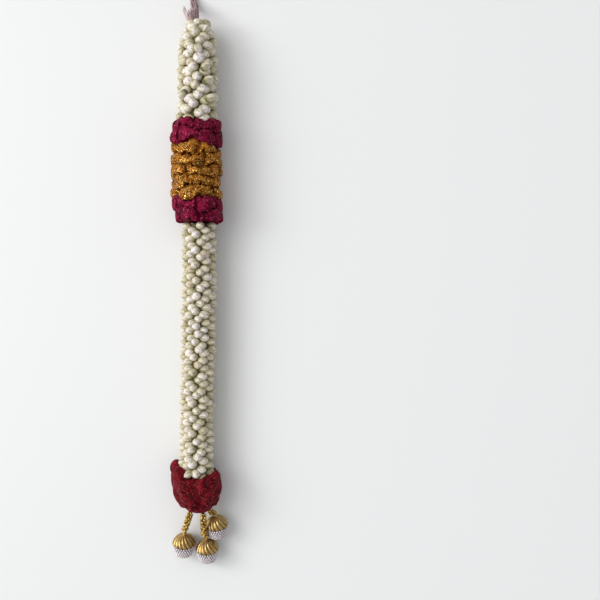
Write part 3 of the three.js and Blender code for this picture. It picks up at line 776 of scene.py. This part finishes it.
def put_in_order(mesh):
    """Puts a mesh's points and faces in order of place, so that it crumples the same way every time."""
    places = [tuple(round(c, 7) for c in vert.co) for vert in mesh.vertices]
    order = sorted(range(len(places)), key=lambda i: places[i])
    rank = {old: new for new, old in enumerate(order)}
    faces = []
    for face in mesh.polygons:
        around = [rank[i] for i in face.vertices]
        first = around.index(min(around))
        faces.append(around[first:] + around[:first])
    mesh.clear_geometry()
    mesh.from_pydata([places[i] for i in order], [], sorted(faces))


def crumple(pieces, held_within, growth, pressure, frames, reach, seed):
    """Lets each piece's cloth grow while its inner edge is held, so that it buckles into folds.  No point
    ends further than `reach` from where it was."""
    noise.seed_set(seed)
    limit = reach * MM
    starts = {}
    for piece in pieces:
        put_in_order(piece.data)
        starts[piece] = [vert.co.copy() for vert in piece.data.vertices]
        held = piece.vertex_groups.new(name="held")
        for vert in piece.data.vertices:
            x, y, z = vert.co / MM
            from_middle = math.hypot(x - eased_at(SWAY, y), z - eased_at(HEIGHT, y))
            if from_middle < held_within:
                held.add([vert.index], 1.0, "REPLACE")
            else:
                spot = Vector((x, y, z + seed)) * FOLD_SPREAD
                vert.co += noise.noise_vector(spot) * FOLD_START * MM
        piece.data.transform(Matrix.Scale(CLOTH_SCALE, 4))
        cloth = piece.modifiers.new("cloth", "CLOTH")
        cloth.settings.quality = 5
        cloth.settings.mass = 0.3
        cloth.settings.tension_stiffness = 25
        cloth.settings.compression_stiffness = 25
        cloth.settings.shear_stiffness = 8
        cloth.settings.bending_stiffness = 1.6
        cloth.settings.air_damping = 4
        cloth.settings.vertex_group_mass = "held"
        cloth.settings.shrink_min = -growth
        cloth.settings.use_pressure = True
        cloth.settings.uniform_pressure_force = pressure
        cloth.settings.effector_weights.gravity = 0
        cloth.collision_settings.use_collision = False
        cloth.point_cache.frame_end = frames
    for step in range(1, frames + 1):
        bpy.context.scene.frame_set(step)
    graph = bpy.context.evaluated_depsgraph_get()
    for piece in pieces:
        ended = [vert.co / CLOTH_SCALE for vert in piece.evaluated_get(graph).data.vertices]
        piece.modifiers.clear()
        piece.vertex_groups.clear()
        for vert, start, end in zip(piece.data.vertices, starts[piece], ended):
            move = end - start
            if move.length > limit:
                move *= limit / move.length
            vert.co = start + move
    bpy.context.scene.frame_set(1)


def finish_soft(piece, node):
    bm = bmesh.new()
    bm.from_mesh(piece.data)
    bmesh.ops.subdivide_edges(bm, edges=bm.edges, cuts=1, use_grid_fill=True, smooth=1)
    keep_above(bm, PRESSED)
    bm.to_mesh(piece.data)
    bm.free()
    piece.data.polygons.foreach_set("use_smooth", [True] * len(piece.data.polygons))
    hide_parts(node)
    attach(piece, "root")


RUFFLE_KINDS = {"crimson": (crimson_cloth, 24.6, 0.4), "gold": (gold_cloth, 22.5, 0.5)}

ruffles = []
counts = {"crimson": 0, "gold": 0}
top = RUFFLES_TOP
for seam, (colour, width, rim) in enumerate(RUFFLE_SIZES):
    cloth, groove, flatness = RUFFLE_KINDS[colour]
    counts[colour] += 1
    ring = ruffle_ring(top, width, rim, seam, groove, flatness)
    ruffle = piece_from(ring, f"{colour}_cloth_{counts[colour]}", cloth)
    ruffles.append((ruffle, f"{colour}_ruffle_{counts[colour]}", f"{colour}_cloth"))
    top -= width
crumple([ruffle for ruffle, node, slot in ruffles], held_within=RUFFLE_HELD, growth=0.32, pressure=2,
        frames=16, reach=4, seed=4)
for ruffle, node, slot in ruffles:
    finish_soft(ruffle, node)

# ---- Pompon ----------------------------------------------------------------------------------------------
# The same crimson glitter cloth, gathered into a soft crumpled ball under the last buds.  Its brim stands up
# round them, highest on the left, and it narrows to the foot that the chains hang from.

POMPON_RADIUS = 26.2
POMPON_LENGTH = 54
POMPON_TOP = -230.1
POMPON_SIDES = 150
POMPON_OUTLINE = (
    (0.30, 0.12), (0.45, 0.12), (0.60, 0.14), (0.70, 0.14), (0.76, 0.10), (0.81, 0.06), (0.87, 0.035),
    (0.93, 0.05), (0.97, 0.11), (0.99, 0.2), (0.98, 0.28), (0.97, 0.36), (0.955, 0.44), (0.94, 0.52),
    (0.90, 0.60), (0.86, 0.68), (0.80, 0.75), (0.74, 0.82), (0.64, 0.89), (0.53, 0.94), (0.40, 0.97),
    (0.28, 0.985), (0.14, 0.985),
)
POMPON_LOBES = ((2.6, 0.16, 3.5, 0.5), (0.5, 0.3, 2.5, 0.6), (1.9, 0.5, 2.2, 0.5), (3.6, 0.35, 2.5, 0.6),
                (5.6, 0.3, 2, 0.6), (1.4, 0, -3.6, 0.55))
LOBE_LENGTH = 0.25
FOLDS_FROM = 0.66
FOLDS_EDGE = 0.1
BRIM_LENGTH = 0.3
BRIM_FOLD = 1.1
BRIM_LIFTS = ((1.35, -2.0, 0.45), (2.35, 4, 0.45), (0.25, -3, 0.4))
PUFF_RADIUS = 0.9
PUFFS = (((-30.5, -228, 18), (7.6, 9.4, 9.5)), ((-26, -240, 29), (8, 9, 8)), ((10, -240, 42), (8.5, 7, 7)),
         ((16, -240, 14), (9, 8, 9)), ((-20, -237, 10), (9, 8, 8)))


def turned_from(angle, direction):
    """How far an angle is from a direction, the short way round."""
    return math.atan2(math.sin(angle - direction), math.cos(angle - direction))


def pompon_swell(angle, along):
    """How far the pompon's folds and lobes stand out at a place.  The last lobe is a dent under the buds."""
    swell = 1.9 * math.sin(6 * angle + 4 * along) + 0.9 * math.sin(9 * angle - 11 * along)
    for direction, place, reach, spread in POMPON_LOBES:
        apart = turned_from(angle, direction) / spread
        beyond = (along - place) / LOBE_LENGTH
        swell += reach * math.exp(-apart * apart - beyond * beyond)
    return swell


def brim_lift(angle):
    """How much higher the brim stands at a place: more at the left, less at the right and under the buds."""
    lift = 0
    for direction, height, spread in BRIM_LIFTS:
        apart = turned_from(angle, direction) / spread
        lift += height * math.exp(-apart * apart)
    return lift


ball = bmesh.new()
spots = [ball.verts.new((share, -along, 0)) for share, along in POMPON_OUTLINE]
edges = [ball.edges.new(pair) for pair in zip(spots, spots[1:] + spots[:1])]
bmesh.ops.subdivide_edges(ball, edges=edges, cuts=1)
bmesh.ops.spin(ball, geom=ball.verts[:] + ball.edges[:], cent=(0, 0, 0), axis=(0, 1, 0), angle=2 * math.pi,
               steps=POMPON_SIDES, use_merge=True)
bmesh.ops.remove_doubles(ball, verts=ball.verts, dist=0.0001)
for vert in ball.verts:
    x, y, z = vert.co
    angle, share, along = math.atan2(z, x), math.hypot(x, z), -y
    swell = pompon_swell(angle, along) * min(max((share - FOLDS_FROM) / FOLDS_EDGE, 0), 1)
    lift = 0
    if along < BRIM_LENGTH:
        lift = BRIM_FOLD * swell + brim_lift(angle) * (BRIM_LENGTH - along) / BRIM_LENGTH
    vert.co = around_strand(angle, POMPON_TOP - POMPON_LENGTH * along + lift, share * POMPON_RADIUS + swell)
for centre, size in PUFFS:
    lie = Matrix.Translation(Vector(centre) * MM) @ Matrix.Diagonal((*[side * MM for side in size], 1))
    bmesh.ops.create_icosphere(ball, subdivisions=4, radius=PUFF_RADIUS, matrix=lie)
bmesh.ops.recalc_face_normals(ball, faces=ball.faces)
# Its brightest colour is a painted glint on the glossy flakes.
pompon_glitter = glitter_cloth("pompon_glitter", deep=(0.035, 0.0002, 0.001), base=(0.12, 0.0005, 0.005),
                               bright=(0.21, 0.001, 0.010), painted_glint=(0.52, 0.05, 0.07), share=0.05, metal=0.1,
                               rough_flakes=0.7)
pompon = piece_from(ball, "pompon_cloth", pompon_glitter)
crumple([pompon], held_within=19, growth=0.26, pressure=1.5, frames=16, reach=3.2, seed=9)
finish_soft(pompon, "pompon")

# ---- Bead chains -----------------------------------------------------------------------------------------
# Short threads set all round with small polished gold beads, three at each level.  Each chain is sewn into
# the foot of the pompon and carries one bell at its apex.

BEADS_AT_LEVEL = 3
BEAD_RADIUS = 2.1
BEAD_SIZES = (0.8, 1.08)
BEAD_OFFSET = 2.6
END_OFFSET = 1.5
BEAD_STEP = 2.4
BEAD_TURN = 0.75
BEAD_STRAY = 0.35
CHAIN_THREAD = 0.7
CHAIN_STEPS = 40
CHAIN_ROUTES = {
    "left": ((-11.6, -284.3, 28), (-14.1, -292, 28), (-17, -301, 25), (-20.1, -309.4, 20.6)),
    "front": ((5.4, -285, 33), (6, -293, 32), (6.2, -303, 29.9), (6.2, -311, 27), (8.7, -316.9, 20.7)),
    "back": ((12.9, -283.6, 23), (17, -286, 22.6), (20, -286, 20.7)),
}


def polished_gold(name, pale, deep, rough_low, rough_high):
    """Gilt metal: bright and a little worn, darkened where its attribute marks it: tarnish in a cap's
    grooves, and painted shade under the pearls and inside the bell.
    """
    material, nodes, links, shader = finish_of(name, metallic=1)
    wear = own_noise(nodes, links, scale=260, detail=5)
    plate = shades_of(nodes, (0.36, deep), (0.58, pale))
    links.new(wear, plate.inputs[0])
    marks = nodes.new("ShaderNodeAttribute")
    marks.attribute_name = "tarnish_and_shade"
    dulled = nodes.new("ShaderNodeMix")
    dulled.data_type = "RGBA"
    links.new(marks.outputs["Fac"], dulled.inputs["Factor"])
    links.new(plate.outputs[0], dulled.inputs["A"])
    dulled.inputs["B"].default_value = (0.07, 0.035, 0.008, 1)
    links.new(dulled.outputs["Result"], shader.inputs["Base Color"])
    links.new(ranged(nodes, links, wear, into=(rough_high, rough_low)), shader.inputs["Roughness"])
    raised = raised_by(nodes, links, wear, strength=0.25, distance=0.2 * MM)
    links.new(raised.outputs[0], shader.inputs["Normal"])
    return material


chain_gold = polished_gold("chain_gold", pale=(0.68, 0.47, 0.14), deep=(0.24, 0.14, 0.03),
                           rough_low=0.18, rough_high=0.38)

for chain_seed, (name, points) in enumerate(CHAIN_ROUTES.items()):
    route = smooth_line([Vector(point) * MM for point in points], CHAIN_STEPS)
    length = sum((b - a).length for a, b in zip(route, route[1:])) / MM
    chain = strand_along(route, CHAIN_THREAD * MM)
    draw = random.Random(30 + chain_seed)
    levels = max(2, round(length / BEAD_STEP))
    for level in range(levels + 1):
        step = round(CHAIN_STEPS * level / levels)
        at = min(max(step, 1), CHAIN_STEPS - 1)
        ahead = (route[at + 1] - route[at - 1]).normalized()
        side = ahead.cross(Vector((0, 0, 1))).normalized()
        offset = (END_OFFSET if level in (0, levels) else BEAD_OFFSET) * MM
        for i in range(BEADS_AT_LEVEL):
            turn = 2 * math.pi * i / BEADS_AT_LEVEL + BEAD_TURN * level
            turn += draw.uniform(-BEAD_STRAY, BEAD_STRAY)
            place = route[step] + (side * math.cos(turn) + ahead.cross(side) * math.sin(turn)) * offset
            size = BEAD_RADIUS * draw.uniform(*BEAD_SIZES) * MM
            bmesh.ops.create_icosphere(chain, subdivisions=2, radius=size, matrix=Matrix.Translation(place))
    beads = piece_from(chain, f"gold_beads_{name}", chain_gold)
    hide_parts(f"chain_{name}")
    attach(beads, "root")

# ---- Bells -----------------------------------------------------------------------------------------------
# Small hollow bells pressed from thin gilt metal: a knob, a cap of narrow curved petals over a plain body,
# and a rolled rim round the open mouth.  They lie on their sides, mouths away from the strand.

BELLS = {
    "left": ((-20.2, -313, 19.6), -4),
    "front": ((8.8, -320.5, 19.6), 2),
    "back": ((20.1, -289.5, 19.6), 5),
}
BELL_TILT = math.radians(15)
BELL_SIDES = 160
BELL_OUTSIDE = (
    (0.2, -1.9), (1.2, -1.7), (2.0, -1.0), (2.2, -0.3), (1.7, 0.5), (2.2, 1.0), (4.2, 1.5), (6.6, 2.6),
    (9.2, 4.4), (11.4, 6.6), (13.2, 9.2), (14.4, 11.6), (15.1, 13.6), (15.0, 14.7), (14.2, 15.3),
    (12.9, 15.7), (12.75, 17), (12.3, 20.5), (11.3, 24), (9.6, 27.4), (9.5, 28.6), (9.6, 29.6),
    (10.0, 30.1), (10.0, 30.7), (9.6, 31.0),
)
BELL_INSIDE = (
    (8.9, 30.8), (8.5, 29.6), (8.1, 27.6), (9.8, 24), (10.9, 20), (11.4, 15), (10.6, 11), (9.0, 7.6),
    (5.5, 4.9), (0.2, 4.1),
)
CAP_FROM = 1.2
CAP_TO = 15.6
CAP_PETALS = 16
CAP_GROOVE = 1.8
CAP_CURVE = 0.03
CAP_SCALLOP = 0.5
BODY_BAND = (15, 29)
# How dark the painted shade is on the body under the pearls and inside the bell.
BODY_PAINTED_SHADE = 0.8


def bell_place(apex, turn):
    """Where a bell lies: its own axis is -Y from its apex."""
    lie = Matrix.Rotation(BELL_TILT, 4, "X") @ Matrix.Rotation(math.radians(turn), 4, "Z")
    return Matrix.Translation(Vector(apex) * MM) @ lie


bell_gold = polished_gold("bell_gold", pale=(0.60, 0.41, 0.16), deep=(0.36, 0.22, 0.07),
                          rough_low=0.30, rough_high=0.48)

for name, (apex, turn) in BELLS.items():
    outline = [(radius, -along) for radius, along in BELL_OUTSIDE + BELL_INSIDE]
    shell = turned(outline, BELL_SIDES, join=0.001, closed=False)
    bmesh.ops.holes_fill(shell, edges=[edge for edge in shell.edges if edge.is_boundary], sides=0)
    tarnish_and_shade = shell.verts.layers.float.new("tarnish_and_shade")
    for vert in shell.verts:
        x, y, z = vert.co
        along, radius = -y, math.hypot(x, z)
        inside = any(abs(radius - r) < 0.02 and abs(along - a) < 0.02 for r, a in BELL_INSIDE)
        # Inside the mouth and on the band under the pearls the metal gets painted shade; in the cap's
        # grooves, tarnish.
        if inside or not CAP_FROM < along < CAP_TO:
            vert[tarnish_and_shade] = BODY_PAINTED_SHADE if inside or BODY_BAND[0] < along < BODY_BAND[1] else 0
            continue
        angle = math.atan2(z, x) + CAP_CURVE * (along - 8)
        rib = abs(math.cos(CAP_PETALS / 2 * angle)) ** 0.8
        deep = CAP_GROOVE * min((along - CAP_FROM) / 3.5, 1)
        vert[tarnish_and_shade] = max(0, 1 - rib * 1.12) * min((along - CAP_FROM) / 2, 1)
        factor = 1 + (rib - 0.8) * deep / max(radius, 3)
        vert.co = (x * factor, y - CAP_SCALLOP * (1 - rib) * min(along / 15, 1), z * factor)
    bmesh.ops.recalc_face_normals(shell, faces=shell.faces)
    bmesh.ops.transform(shell, verts=shell.verts, matrix=bell_place(apex, turn) @ Matrix.Scale(MM, 4))
    keep_above(shell, PRESSED)
    bell = piece_from(shell, f"gilt_bell_{name}", bell_gold)
    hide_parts(f"bell_{name}")
    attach(bell, "root")

# ---- Pearls ----------------------------------------------------------------------------------------------
# Rows of small imitation pearls glued round the body of each bell, close together, in five rows between the
# petals and the rim.

PEARL_ROWS = 5
PEARLS_IN_ROW = 26
PEARL_BAND = (17.4, 28.6)
PEARL_HEIGHT = 0.84
PEARL_LARGEST = 1.38
PEARL_SIZES = (0.93, 1)
BODY_NARROWEST = 9.5

pearl_gloss, nodes, links, shader = finish_of("pearl_gloss", base=(0.66, 0.62, 0.70), roughness=0.16)
lustre = shades_of(nodes, (0.35, (0.56, 0.50, 0.54)), (0.62, (0.82, 0.77, 0.79)))
links.new(own_noise(nodes, links, scale=500), lustre.inputs[0])
links.new(lustre.outputs[0], shader.inputs["Base Color"])
shader.inputs["Coat Weight"].default_value = 0.6
shader.inputs["Coat Roughness"].default_value = 0.08


def body_radius_at(along):
    """The outside of a bell's plain body, which the pearls sit on."""
    return max(12.8 - 3.4 * ((along - 16) / 11.6) ** 2, BODY_NARROWEST)


for name, (apex, turn) in BELLS.items():
    rows = bmesh.new()
    draw = random.Random(len(name))
    for row in range(PEARL_ROWS):
        along = PEARL_BAND[0] + (PEARL_BAND[1] - PEARL_BAND[0]) * row / (PEARL_ROWS - 1)
        from_axis = body_radius_at(along) + PEARL_HEIGHT
        fits = min(math.pi * from_axis / PEARLS_IN_ROW, PEARL_LARGEST)
        for k in range(PEARLS_IN_ROW):
            angle = 2 * math.pi * (k + 0.5 * (row % 2)) / PEARLS_IN_ROW
            spot = Matrix.Translation((from_axis * math.cos(angle), -along, from_axis * math.sin(angle)))
            size = fits * draw.uniform(*PEARL_SIZES)
            bmesh.ops.create_icosphere(rows, subdivisions=2, radius=size, matrix=spot)
    bmesh.ops.transform(rows, verts=rows.verts, matrix=bell_place(apex, turn) @ Matrix.Scale(MM, 4))
    keep_above(rows, PRESSED)
    pearls = piece_from(rows, f"pearl_rows_{name}", pearl_gloss)
    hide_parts(f"pearls_{name}")
    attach(pearls, "root")
